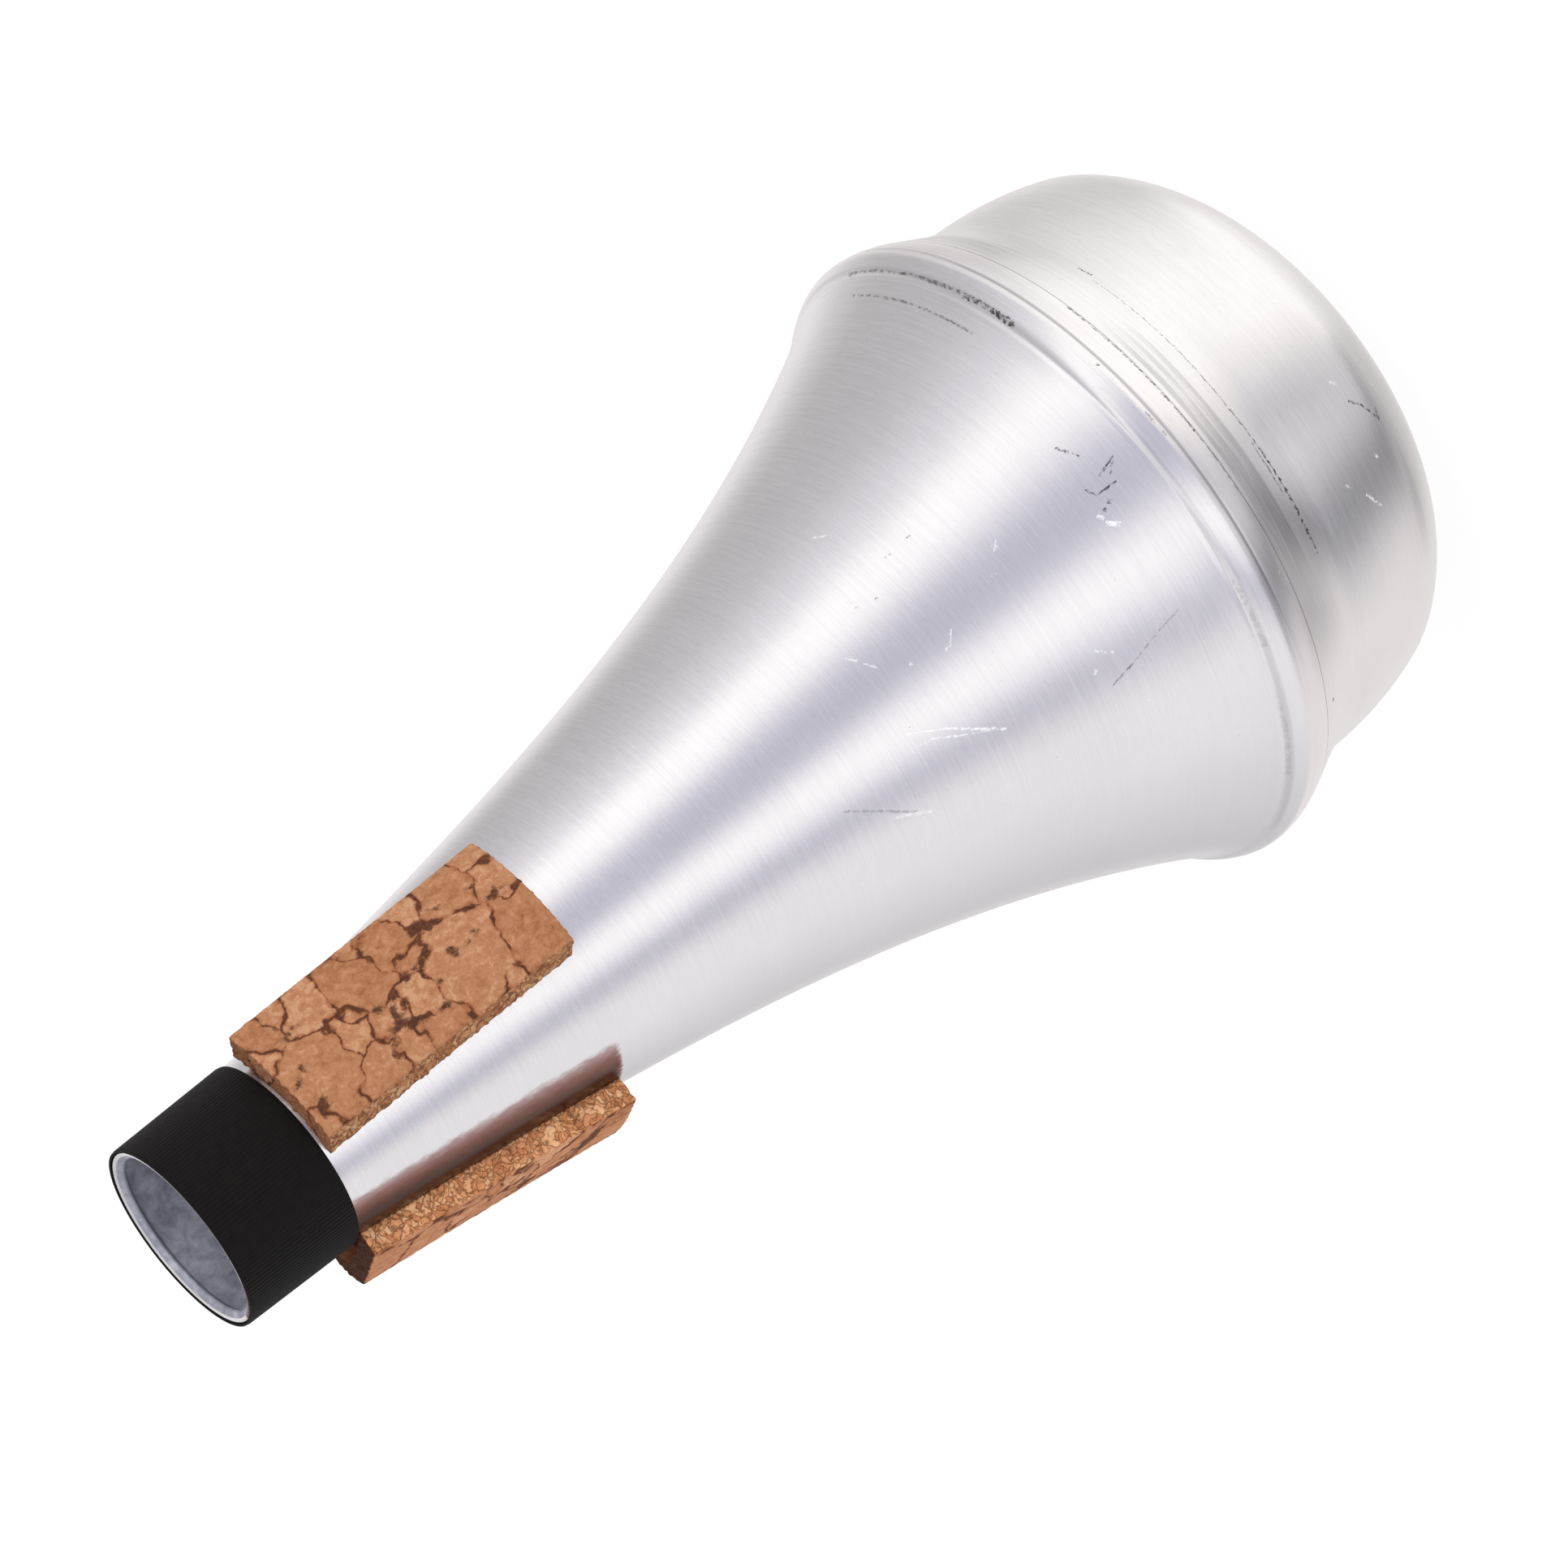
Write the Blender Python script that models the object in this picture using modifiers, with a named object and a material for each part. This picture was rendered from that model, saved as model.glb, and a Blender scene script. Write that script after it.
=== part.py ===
"""Trumpet mute: a spun aluminium cone, closed at its wide end by a spun cup.

The mute stands on the flat end of its cup. +Z runs along its axis, from the cup to the
mouth, and -Y is its front. Heights are measured from the flat end, and all lengths are
in metres.
"""
import math

import bmesh
import bpy
import numpy as np

# Overall sizes
MUTE_LENGTH = 0.1713        # flat end to the metal edge of the mouth
RIM_RADIUS = 0.0425         # widest point, on the rolled rim
RIM_HEIGHT = 0.0380         # height of that widest point

# Cone: neck, flare and mouth
SHELL_SHEET = 0.0008
MOUTH_RADIUS = 0.01153
NECK_LENGTH = 0.0155        # almost straight part under the sleeve
NECK_TAPER = 0.0003         # how much wider the neck gets along that part
CURL_WIDTH = 0.0012         # curled-in mouth edge, across
CURL_DEPTH = 0.0009         # and down into the neck
CURL_ROUNDING = 0.0003
CONE_SHARE = 0.516          # the flare is part straight cone,
BELL_SHARE = 0.466          # part bell curve,
BELL_POWER = 3.38
KICK_POWER = 70.0           # and the rest a short outward kick at the crease

# Rolled rim that holds the cup
CREASE_RISE = 0.0026        # crease above the widest point
CREASE_INSET = 0.00137      # and inside it
CREASE_DEPTH = 0.00025
CREASE_WIDTH = 0.0010
UPPER_RIM_POWER = 1.8
SEAM_DROP = 0.0039          # cut edge of the roll below the widest point
SEAM_INSET = 0.00095        # and inside it
LOWER_RIM_POWER = 1.95

# End cup
CUP_SHEET = 0.0008
COVE_HEIGHT = 0.0096        # flared part between the cup's wall and the seam
COVE_DEPTH = 0.0032         # how far the wall lies inside the seam
COVE_SWEEP = 1.68
WALL_BOW_RADIUS = 0.0425    # the wall bows in slightly as it goes down
WALL_BOW_TURN = math.radians(17.0)
KNUCKLE_RADIUS = 0.0105     # tighter bend where the round-over starts
KNUCKLE_TURN = math.radians(16.2)
LIP_RISE = 0.0042           # hidden lip of the cup, up inside the roll

# Cork strips, bent round the cone
CORK_LENGTH = 0.0348
CORK_WIDTH = 0.0174
CORK_HEIGHT = 0.0030        # outer face above the metal
CORK_ROUNDING = 0.0004
CORK_LIFT = 0.0017          # how far the upper strip's near corner stands off the metal
FOLD_NEAR_PLACE = 0.0108    # the lower strip stands off the metal in a lengthwise fold:
FOLD_FAR_PLACE = 0.0128     # its place from the edge on the +x side, at both ends,
FOLD_NEAR_RISE = 0.0040     # and how far it rises there
FOLD_FAR_RISE = 0.0030
FOLD_POWER = 1.8
CORK_STRIPS = {             # turn from the front towards +X and skew, both in degrees
    "cork_strip_upper": (25.4, -5.2),
    "cork_strip_lower": (-106.75, 10.5),
    "cork_strip_hidden": (160.0, 0.0),
}

# Sleeve on the neck
SLEEVE_WALL = 0.00032
SLEEVE_LENGTH = 0.0155
SLEEVE_OVERHANG = 0.00035   # how far it stands past the metal edge

# Clearances
SEAT_GAP = 0.00025          # sleeve and cork to the metal that they are fixed on
SEAM_GAP = 0.0003           # cup to the rim that is rolled over it
CORK_TO_SLEEVE = 0.0005

TURN_STEPS = 48
CORK_SLICES = 14
SHARP_ANGLE = math.radians(35.0)


def clear_scene():
    """Remove every object that the file starts with."""
    for obj in list(bpy.data.objects):
        bpy.data.objects.remove(obj, do_unlink=True)


def make_collection(name):
    collection = bpy.data.collections.new(name)
    bpy.context.scene.collection.children.link(collection)
    return collection


def make_material(name, colour, roughness, metallic):
    """One Principled BSDF per piece."""
    material = bpy.data.materials.new(name)
    material.use_nodes = True
    shader = material.node_tree.nodes["Principled BSDF"]
    shader.inputs["Base Color"].default_value = (*colour, 1.0)
    shader.inputs["Roughness"].default_value = roughness
    shader.inputs["Metallic"].default_value = metallic
    material.diffuse_color = (*colour, 1.0)
    return material


def neck_foot_radius():
    return MOUTH_RADIUS + NECK_TAPER


def neck_foot_height():
    return MUTE_LENGTH - NECK_LENGTH


def crease_radius():
    return RIM_RADIUS - CREASE_INSET


def crease_height():
    return RIM_HEIGHT + CREASE_RISE


def seam_radius():
    return RIM_RADIUS - SEAM_INSET


def seam_height():
    return RIM_HEIGHT - SEAM_DROP


def cup_wall_radius():
    return seam_radius() - COVE_DEPTH


def cup_wall_height():
    return seam_height() - COVE_HEIGHT


def neck_radius(height):
    """Outside of the neck, which widens evenly from the mouth down."""
    return MOUTH_RADIUS + NECK_TAPER * (MUTE_LENGTH - height) / NECK_LENGTH


def flare_radius(height):
    """Outside of the flare, from the foot of the neck down to the crease."""
    run = (neck_foot_height() - height) / (neck_foot_height() - crease_height())
    cone = CONE_SHARE * run
    bell = BELL_SHARE * run ** BELL_POWER
    kick = (1.0 - CONE_SHARE - BELL_SHARE) * run ** KICK_POWER
    return neck_foot_radius() + (crease_radius() - neck_foot_radius()) * (cone + bell + kick)


def rim_radius(height):
    """Outside of the rolled rim, from the crease down to its cut edge."""
    if height >= RIM_HEIGHT:
        share = (height - RIM_HEIGHT) / CREASE_RISE
        return RIM_RADIUS - CREASE_INSET * share ** UPPER_RIM_POWER
    share = (RIM_HEIGHT - height) / SEAM_DROP
    return RIM_RADIUS - SEAM_INSET * share ** LOWER_RIM_POWER


def metal_radius(height):
    """Outside of the cone's sheet at any height from the mouth to the seam."""
    if height >= neck_foot_height():
        return neck_radius(height)
    if height >= crease_height():
        return flare_radius(height)
    return rim_radius(height)


def cove_radius(height):
    """Outside of the cup's flared part, an S-shaped sweep from its wall to the seam."""
    share = (height - cup_wall_height()) / COVE_HEIGHT
    sweep = COVE_SWEEP * share ** 2 + (1.0 - COVE_SWEEP) * share ** 3
    return cup_wall_radius() + COVE_DEPTH * sweep


def offset_path(path, distance):
    """Points moved sideways by a distance, to the left of the way the path runs."""
    points = np.array(path)
    ahead = np.gradient(points, axis=0)
    ahead /= np.linalg.norm(ahead, axis=1)[:, None]
    left = np.stack([-ahead[:, 1], ahead[:, 0]], axis=1)
    return [tuple(point) for point in points + left * distance]


def arc_down(start, turned, radius, turn, count):
    """Points of an arc that bends in towards the axis as it goes down.

    The path at its start already leans in by the angle turned, and leans in by a
    further turn at its end. The start itself is left out.
    """
    points = []
    for lean in np.linspace(turned, turned + turn, count + 1)[1:]:
        across = radius * (math.cos(turned) - math.cos(lean))
        down = radius * (math.sin(lean) - math.sin(turned))
        points.append((start[0] - across, start[1] - down))
    return points


def rounded_end(first, last, bulge, count):
    """Points of a half round between two corners, standing out by the bulge."""
    first = np.array(first)
    last = np.array(last)
    middle = (first + last) / 2.0
    half = (first - last) / 2.0
    out = np.array([-half[1], half[0]]) / np.linalg.norm(half)
    points = []
    for angle in np.linspace(0.0, math.pi, count + 2)[1:-1]:
        points.append(tuple(middle + half * math.cos(angle) + out * bulge * math.sin(angle)))
    return points


def shell_heights():
    """Heights of the cone's points, closer together where it curves more."""
    neck = list(np.linspace(MUTE_LENGTH, neck_foot_height(), 3))
    groove_top = crease_height() + CREASE_WIDTH / 2.0
    groove_bottom = crease_height() - CREASE_WIDTH / 2.0
    drop = neck_foot_height() - groove_top
    flare = [neck_foot_height() - drop * (1.0 - (1.0 - share) ** 1.4)
             for share in np.linspace(0.0, 1.0, 17)[1:]]
    upper_rim = list(np.linspace(groove_bottom, RIM_HEIGHT, 5))
    lower_rim = list(np.linspace(RIM_HEIGHT, seam_height(), 5)[1:])
    return neck + flare + upper_rim + lower_rim


def shell_profile():
    """Closed outline of the cone's sheet: outside, cut edge, inside, curled mouth edge."""
    outside = [(metal_radius(height), height) for height in shell_heights()]
    inside = list(reversed(offset_path(outside, -SHELL_SHEET)))[:-1]
    outside = outside[1:]
    groove = sum(height > crease_height() for _, height in outside)
    outside.insert(groove, (crease_radius() - CREASE_DEPTH, crease_height()))
    curl_radius = MOUTH_RADIUS - CURL_WIDTH
    curl_foot = MUTE_LENGTH - CURL_DEPTH
    curl = [(MOUTH_RADIUS - SHELL_SHEET, curl_foot - CURL_ROUNDING),
            (curl_radius + CURL_ROUNDING, curl_foot),
            (curl_radius, curl_foot + CURL_ROUNDING),
            (curl_radius, MUTE_LENGTH - CURL_ROUNDING),
            (curl_radius + CURL_ROUNDING, MUTE_LENGTH),
            (MOUTH_RADIUS - CURL_ROUNDING, MUTE_LENGTH),
            (MOUTH_RADIUS, MUTE_LENGTH - CURL_ROUNDING)]
    return outside + inside + curl


def cup_body_path():
    """Outside of the cup, from just under the seam down to the centre of its flat end."""
    heights = np.linspace(seam_height() - SEAM_GAP, cup_wall_height(), 7)
    path = [(cove_radius(height), height) for height in heights]
    path += arc_down(path[-1], 0.0, WALL_BOW_RADIUS, WALL_BOW_TURN, 3)
    path += arc_down(path[-1], WALL_BOW_TURN, KNUCKLE_RADIUS, KNUCKLE_TURN, 2)
    leaning = WALL_BOW_TURN + KNUCKLE_TURN
    round_over_radius = path[-1][1] / (1.0 - math.sin(leaning))
    path += arc_down(path[-1], leaning, round_over_radius, math.pi / 2.0 - leaning, 7)
    return path


def cup_lip_path():
    """Outside of the hidden lip, from its top down to the joggle under the cut edge."""
    heights = np.linspace(seam_height() + LIP_RISE, seam_height() - SEAM_GAP, 8)
    rim = [(metal_radius(height), height) for height in heights]
    return offset_path(rim, -(SHELL_SHEET + SEAM_GAP))


def cup_profile():
    """Outline of the cup's sheet: up its inside, over the lip and down its outside."""
    lip = cup_lip_path()
    body = cup_body_path()
    lip_inside = offset_path(lip, -CUP_SHEET)
    body_inside = offset_path(body, -CUP_SHEET)
    below_joggle = [point for point in body_inside if point[1] < lip_inside[-1][1] - CUP_SHEET]
    inside = lip_inside + below_joggle + [(0.0, CUP_SHEET)]
    top = rounded_end(lip_inside[0], lip[0], -CUP_SHEET / 2.0, 2)
    return list(reversed(inside)) + top + lip + body + [(0.0, 0.0)]


def turned_object(name, profile, closed, material, collection):
    """Turn an outline of (radius, height) pairs about +Z with a Screw modifier."""
    count = len(profile)
    edges = [(k, k + 1) for k in range(count - 1)]
    if closed:
        edges.append((count - 1, 0))
    mesh = bpy.data.meshes.new(name)
    mesh.from_pydata([(radius, 0.0, height) for radius, height in profile], edges, [])
    mesh.materials.append(material)
    obj = bpy.data.objects.new(name, mesh)
    collection.objects.link(obj)
    screw = obj.modifiers.new("turn", "SCREW")
    screw.axis = "Z"
    screw.steps = TURN_STEPS
    screw.render_steps = TURN_STEPS
    screw.use_merge_vertices = True
    screw.merge_threshold = 0.00001
    screw.use_smooth_shade = True
    return obj


def build_cone_shell(collection):
    """Neck, flare and rolled rim, spun from one sheet and open at both ends."""
    material = make_material("spun_aluminium_cone", (0.78, 0.77, 0.79), 0.28, 1.0)
    return turned_object("cone_shell", shell_profile(), True, material, collection)


def build_end_cup(collection):
    """Spun cup whose joggled lip stands inside the rolled rim."""
    material = make_material("spun_aluminium_cup", (0.76, 0.75, 0.77), 0.30, 1.0)
    return turned_object("end_cup", cup_profile(), False, material, collection)


def build_neck_sleeve(collection):
    """Thin tube stretched over the neck, standing a little past the metal edge."""
    material = make_material("black_sleeve", (0.012, 0.010, 0.010), 0.75, 0.0)
    top = MUTE_LENGTH + SLEEVE_OVERHANG
    bottom = top - SLEEVE_LENGTH
    inside = [(metal_radius(height) + SEAT_GAP, height) for height in (bottom, top)]
    outside = [(radius + SLEEVE_WALL, height) for radius, height in reversed(inside)]
    softening = SLEEVE_WALL / 3.0
    top_edge = [(outside[0][0] - softening, top), (outside[0][0], top - softening)]
    profile = top_edge + outside[1:] + inside
    return turned_object("neck_sleeve", profile, True, material, collection)


def cork_start_height():
    """Near end of the cork strips, just below the sleeve."""
    return MUTE_LENGTH + SLEEVE_OVERHANG - SLEEVE_LENGTH - CORK_TO_SLEEVE


def corner_lift(across, share):
    """Stand-off of the upper strip: its edge on the +x side rises towards the near end."""
    edge = max(across, 0.0) / (CORK_WIDTH / 2.0)
    raised = CORK_LIFT * edge ** 2 * max(1.0 - share, 0.0) ** 1.3
    return raised, raised


def fold_lift(across, share):
    """Stand-off of the lower strip, which rises from both long edges to a fold."""
    place = FOLD_NEAR_PLACE + (FOLD_FAR_PLACE - FOLD_NEAR_PLACE) * share
    rise = FOLD_NEAR_RISE + (FOLD_FAR_RISE - FOLD_NEAR_RISE) * share
    reached = max(CORK_WIDTH / 2.0 - across, 0.0)
    if reached < place:
        return rise * (reached / place) ** FOLD_POWER, rise
    return rise * (1.0 - ((reached - place) / (CORK_WIDTH - place)) ** FOLD_POWER), rise


def no_lift(across, share):
    return 0.0, 0.0


CORK_LIFTS = {
    "cork_strip_upper": corner_lift,
    "cork_strip_lower": fold_lift,
    "cork_strip_hidden": no_lift,
}


def wrap_on_cone(point, centre, skew, lift):
    """Bend a flat block round the cone: x across, y down the cone, z out of the metal.

    The lift says how far the block stands off the metal there, and at which stand-off
    its width is measured round the cone.
    """
    across, down, out = point
    top = cork_start_height()
    widening = metal_radius(top - CORK_LENGTH) - metal_radius(top)
    height = top - down * math.cos(math.atan2(widening, CORK_LENGTH))
    share = down / CORK_LENGTH
    raised, bent_at = lift(across, share)
    seat = metal_radius(height) + SEAT_GAP + out
    radius = seat + raised
    angle = centre + skew * (share - 0.5) + across / (seat + bent_at)
    return (radius * math.sin(angle), -radius * math.cos(angle), height)


def cut_across(block, axis, places):
    """Cut the block into slices so that it can bend."""
    for place in places:
        point = [0.0, 0.0, 0.0]
        point[axis] = place
        normal = [0.0, 0.0, 0.0]
        normal[axis] = 1.0
        geom = block.verts[:] + block.edges[:] + block.faces[:]
        bmesh.ops.bisect_plane(block, geom=geom, plane_co=point, plane_no=normal)


def build_cork_strip(name, centre, skew, collection):
    """A flat block of cork with softened edges, bent round the cone."""
    material = make_material(name + "_cork", (0.52, 0.29, 0.15), 0.85, 0.0)
    thickness = CORK_HEIGHT - SEAT_GAP
    block = bmesh.new()
    bmesh.ops.create_cube(block, size=1.0)
    for vert in block.verts:
        vert.co.x *= CORK_WIDTH
        vert.co.y = (vert.co.y + 0.5) * CORK_LENGTH
        vert.co.z = (vert.co.z + 0.5) * thickness
    outer_edges = [edge for edge in block.edges
                   if all(vert.co.z > thickness / 2.0 for vert in edge.verts)]
    bmesh.ops.bevel(block, geom=outer_edges, offset=CORK_ROUNDING, segments=2,
                    affect="EDGES", profile=0.5)
    cut_across(block, 0, np.linspace(-CORK_WIDTH / 2.0, CORK_WIDTH / 2.0, CORK_SLICES + 1)[1:-1])
    cut_across(block, 1, np.linspace(0.0, CORK_LENGTH, 8)[1:-1])
    for vert in block.verts:
        vert.co = wrap_on_cone(vert.co, centre, skew, CORK_LIFTS[name])
    bmesh.ops.recalc_face_normals(block, faces=block.faces[:])
    mesh = bpy.data.meshes.new(name)
    block.to_mesh(mesh)
    block.free()
    mesh.materials.append(material)
    mesh.shade_smooth()
    mesh.set_sharp_from_angle(angle=SHARP_ANGLE)
    obj = bpy.data.objects.new(name, mesh)
    collection.objects.link(obj)
    return obj


def build_mute():
    clear_scene()
    parts = make_collection("trumpet_mute")
    build_cone_shell(parts)
    build_end_cup(parts)
    build_neck_sleeve(parts)
    for name, (turn, skew) in CORK_STRIPS.items():
        build_cork_strip(name, math.radians(turn), math.radians(skew), parts)


build_mute()
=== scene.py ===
"""Trumpet mute: a spun aluminium cone and cup, with cork strips and a black sleeve."""

import bpy
import numpy as np
from mathutils import Matrix


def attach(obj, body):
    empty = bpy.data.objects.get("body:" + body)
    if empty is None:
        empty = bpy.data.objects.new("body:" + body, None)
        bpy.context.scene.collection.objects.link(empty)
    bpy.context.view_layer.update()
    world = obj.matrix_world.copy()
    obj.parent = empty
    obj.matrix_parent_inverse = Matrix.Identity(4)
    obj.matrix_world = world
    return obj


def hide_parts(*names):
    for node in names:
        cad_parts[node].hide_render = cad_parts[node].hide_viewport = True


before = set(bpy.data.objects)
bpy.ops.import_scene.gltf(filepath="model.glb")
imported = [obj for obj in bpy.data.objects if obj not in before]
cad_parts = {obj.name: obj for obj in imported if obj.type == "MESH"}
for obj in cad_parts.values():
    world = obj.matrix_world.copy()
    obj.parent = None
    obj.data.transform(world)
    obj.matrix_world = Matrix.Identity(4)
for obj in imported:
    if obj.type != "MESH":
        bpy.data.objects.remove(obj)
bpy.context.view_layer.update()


# Spun cone
# The body of the mute: one aluminium sheet, spun on a lathe from a short straight neck
# down a bell-like flare to a rim that is rolled over the lip of the cup. The mouth edge
# is curled in, and the tool has left fine lines that run round the axis.
MUTE_LENGTH = 0.1713
RIM_RADIUS = 0.0425
RIM_HEIGHT = 0.0380
SHELL_SHEET = 0.0008
MOUTH_RADIUS = 0.01153
NECK_LENGTH = 0.0155
NECK_TAPER = 0.0003
CONE_SHARE = 0.516
BELL_SHARE = 0.466
BELL_POWER = 3.38
KICK_POWER = 70.0
CREASE_RISE = 0.0026
CREASE_INSET = 0.00137
CREASE_DEPTH = 0.00025
CREASE_SPREAD = 0.00028
UPPER_RIM_POWER = 1.8
SEAM_DROP = 0.0039
SEAM_INSET = 0.00095
LOWER_RIM_POWER = 1.95
CURL_DEPTH = 0.0009
CURL_ROUNDING = 0.0003
RIDGE_MARK_HEIGHT = 0.0372
RIDGE_MARK_DEPTH = 0.00006
RIDGE_MARK_SPREAD = 0.00022
CLOSE_ROWS = 0.004
LATHE_STEPS = 256
DULL_CURL_ROWS = 5

# The painted brown reflection and shadow of the lower cork strip on the metal beside it:
# the turn in degrees at which it starts, how many degrees that turn changes per millimetre,
# the degrees over which it deepens, and the height in millimetres of its foot
CORK_REFLECTION_TURN = -48.8
CORK_REFLECTION_SKEW = 0.15
CORK_REFLECTION_REACH = 20.0
CORK_REFLECTION_FOOT = 121.6

# Lathe lines, as (breaks round the axis, lines per metre along the outline, detail)
FINE_LINES = (4.0, 6500.0, 2.0)
BROAD_LINES = (1.6, 900.0, 3.0)
SHORT_LINES = (14.0, 3800.0, 2.0)
RING_LINES = (0.5, 2400.0, 2.0)
THIN_LINES = (40.0, 5200.0, 3.0)
UNROLLED_RADIUS = 40.0
SMOOTH_SIDE = (-0.996, -0.087, 0.0)

# Painted dark reflection bands, as (low, high, first turn, last turn, strength), in millimetres
# and radians
CONE_REFLECTION_BANDS = [(37.15, 37.45, -0.45, 1.3, 0.5), (39.9, 40.3, -1.3, 1.6, 0.16)]

# Scratches, nicks and grime, as (turn, height, turn, height, half width, strength), with
# turns in degrees and the rest in millimetres
CONE_DARK = [
    (22.7, 66.9, 22.3, 66.3, 0.1, 0.6), (22.3, 64.1, 22.1, 63.4, 0.1, 0.6),
    (19.0, 73.0, 18.4, 72.6, 0.1, 0.5), (17.3, 70.8, 16.9, 70.5, 0.1, 0.5),
    (76, 40.3, 60, 40.2, 0.10, 0.5), (60, 40.2, 45, 40.15, 0.14, 0.65),
    (45, 40.15, 38, 40.15, 0.22, 0.8), (38, 40.15, 33.5, 40.2, 0.24, 0.9),
    (72, 42.7, 39.5, 42.9, 0.12, 0.6), (14, 46.6, 12, 46.0, 0.14, 0.8),
    (12, 46.0, 10.2, 45.4, 0.1, 0.8), (3.2, 46.7, 3.0, 44.3, 0.12, 0.9),
    (5.2, 47.2, 3.2, 46.7, 0.1, 0.7), (1.2, 46.2, 0.9, 46.0, 0.25, 1.0),
    (0.6, 47.0, 0.2, 46.9, 0.2, 0.8), (8.2, 37.9, 3.5, 37.8, 0.12, 0.5),
    (18.7, 38.0, 18.3, 37.9, 0.15, 0.7), (-28.0, 55.7, -25.5, 52.4, 0.11, 0.6),
    (-25.5, 52.4, -22.5, 48.8, 0.1, 0.5), (-22.5, 48.8, -21.0, 46.2, 0.09, 0.35),
    (-21, 40.3, -33.5, 40.2, 0.2, 0.16), (-43.0, 40.5, -62.0, 40.3, 0.2, 0.14),
    (-20.8, 87.5, -32.0, 80.5, 0.2, 0.35), (5.5, 45.2, 6.4, 42.9, 0.14, 0.8),
    (6.6, 42.9, 4.2, 44.4, 0.1, 0.6), (30.0, 34.3, 0.5, 34.25, 0.12, 0.7),
    (0.5, 34.25, -11.0, 34.2, 0.12, 0.5)]
CONE_BRIGHT = [
    (9.0, 57.5, 7.5, 58.3, 0.1, 0.9), (0.8, 67.0, -2.2, 68.2, 0.09, 0.8),
    (-1.8, 68.5, -2.6, 68.9, 0.12, 0.9), (11.4, 77.6, 9.0, 76.8, 0.12, 0.7),
    (7.8, 76.5, 4.6, 75.7, 0.12, 0.7), (0.4, 72.7, 0.0, 72.6, 0.2, 0.9),
    (-1.5, 47.6, -3.0, 46.7, 0.28, 1.0), (0.4, 47.9, -0.6, 47.6, 0.22, 0.9),
    (-13.0, 77.3, -17.0, 73.5, 0.12, 0.8), (-17.0, 73.5, -21.5, 70.4, 0.16, 1.0),
    (-21.5, 70.4, -24.8, 67.8, 0.2, 1.0), (-17.0, 77.1, -17.4, 75.2, 0.1, 0.7),
    (-17.4, 75.2, -20.6, 72.4, 0.14, 0.9), (-20.6, 72.4, -23.6, 68.9, 0.1, 0.8),
    (-20.0, 55.8, -22.0, 54.2, 0.16, 0.8), (-24.0, 56.9, -23.6, 56.6, 0.2, 0.8),
    (8.6, 58.0, 7.8, 57.9, 0.2, 0.8), (-30.0, 83.0, -34.0, 79.0, 0.3, 0.6),
    (40.0, 70.0, 37.5, 69.0, 0.15, 0.6)]

neck_foot = MUTE_LENGTH - NECK_LENGTH
crease_height = RIM_HEIGHT + CREASE_RISE
seam_height = RIM_HEIGHT - SEAM_DROP


def metal_radius(height):
    """Outside radius of the cone at each height.

    The neck widens evenly. The flare is a straight cone plus two powers of the way
    down, and the rim falls away from its widest point by a power of the distance.
    """
    height = np.asarray(height, float)
    neck = MOUTH_RADIUS + NECK_TAPER * (MUTE_LENGTH - height) / NECK_LENGTH
    run = np.clip((neck_foot - height) / (neck_foot - crease_height), 0.0, 1.0)
    bell = CONE_SHARE * run + BELL_SHARE * run ** BELL_POWER
    bell = bell + (1.0 - CONE_SHARE - BELL_SHARE) * run ** KICK_POWER
    foot = MOUTH_RADIUS + NECK_TAPER
    flare = foot + (RIM_RADIUS - CREASE_INSET - foot) * bell
    above = np.clip((height - RIM_HEIGHT) / CREASE_RISE, 0.0, 1.0)
    below = np.clip((RIM_HEIGHT - height) / SEAM_DROP, 0.0, None)
    rim = RIM_RADIUS - CREASE_INSET * above ** UPPER_RIM_POWER
    rim = rim - SEAM_INSET * below ** LOWER_RIM_POWER
    return np.where(height >= neck_foot, neck, np.where(height >= crease_height, flare, rim))


def beside(path, distance):
    """A path moved sideways by a distance, to the left of the way it runs."""
    ahead = np.gradient(path, axis=0)
    ahead /= np.linalg.norm(ahead, axis=1)[:, None]
    return path + distance * np.stack([-ahead[:, 1], ahead[:, 0]], axis=1)


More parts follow.
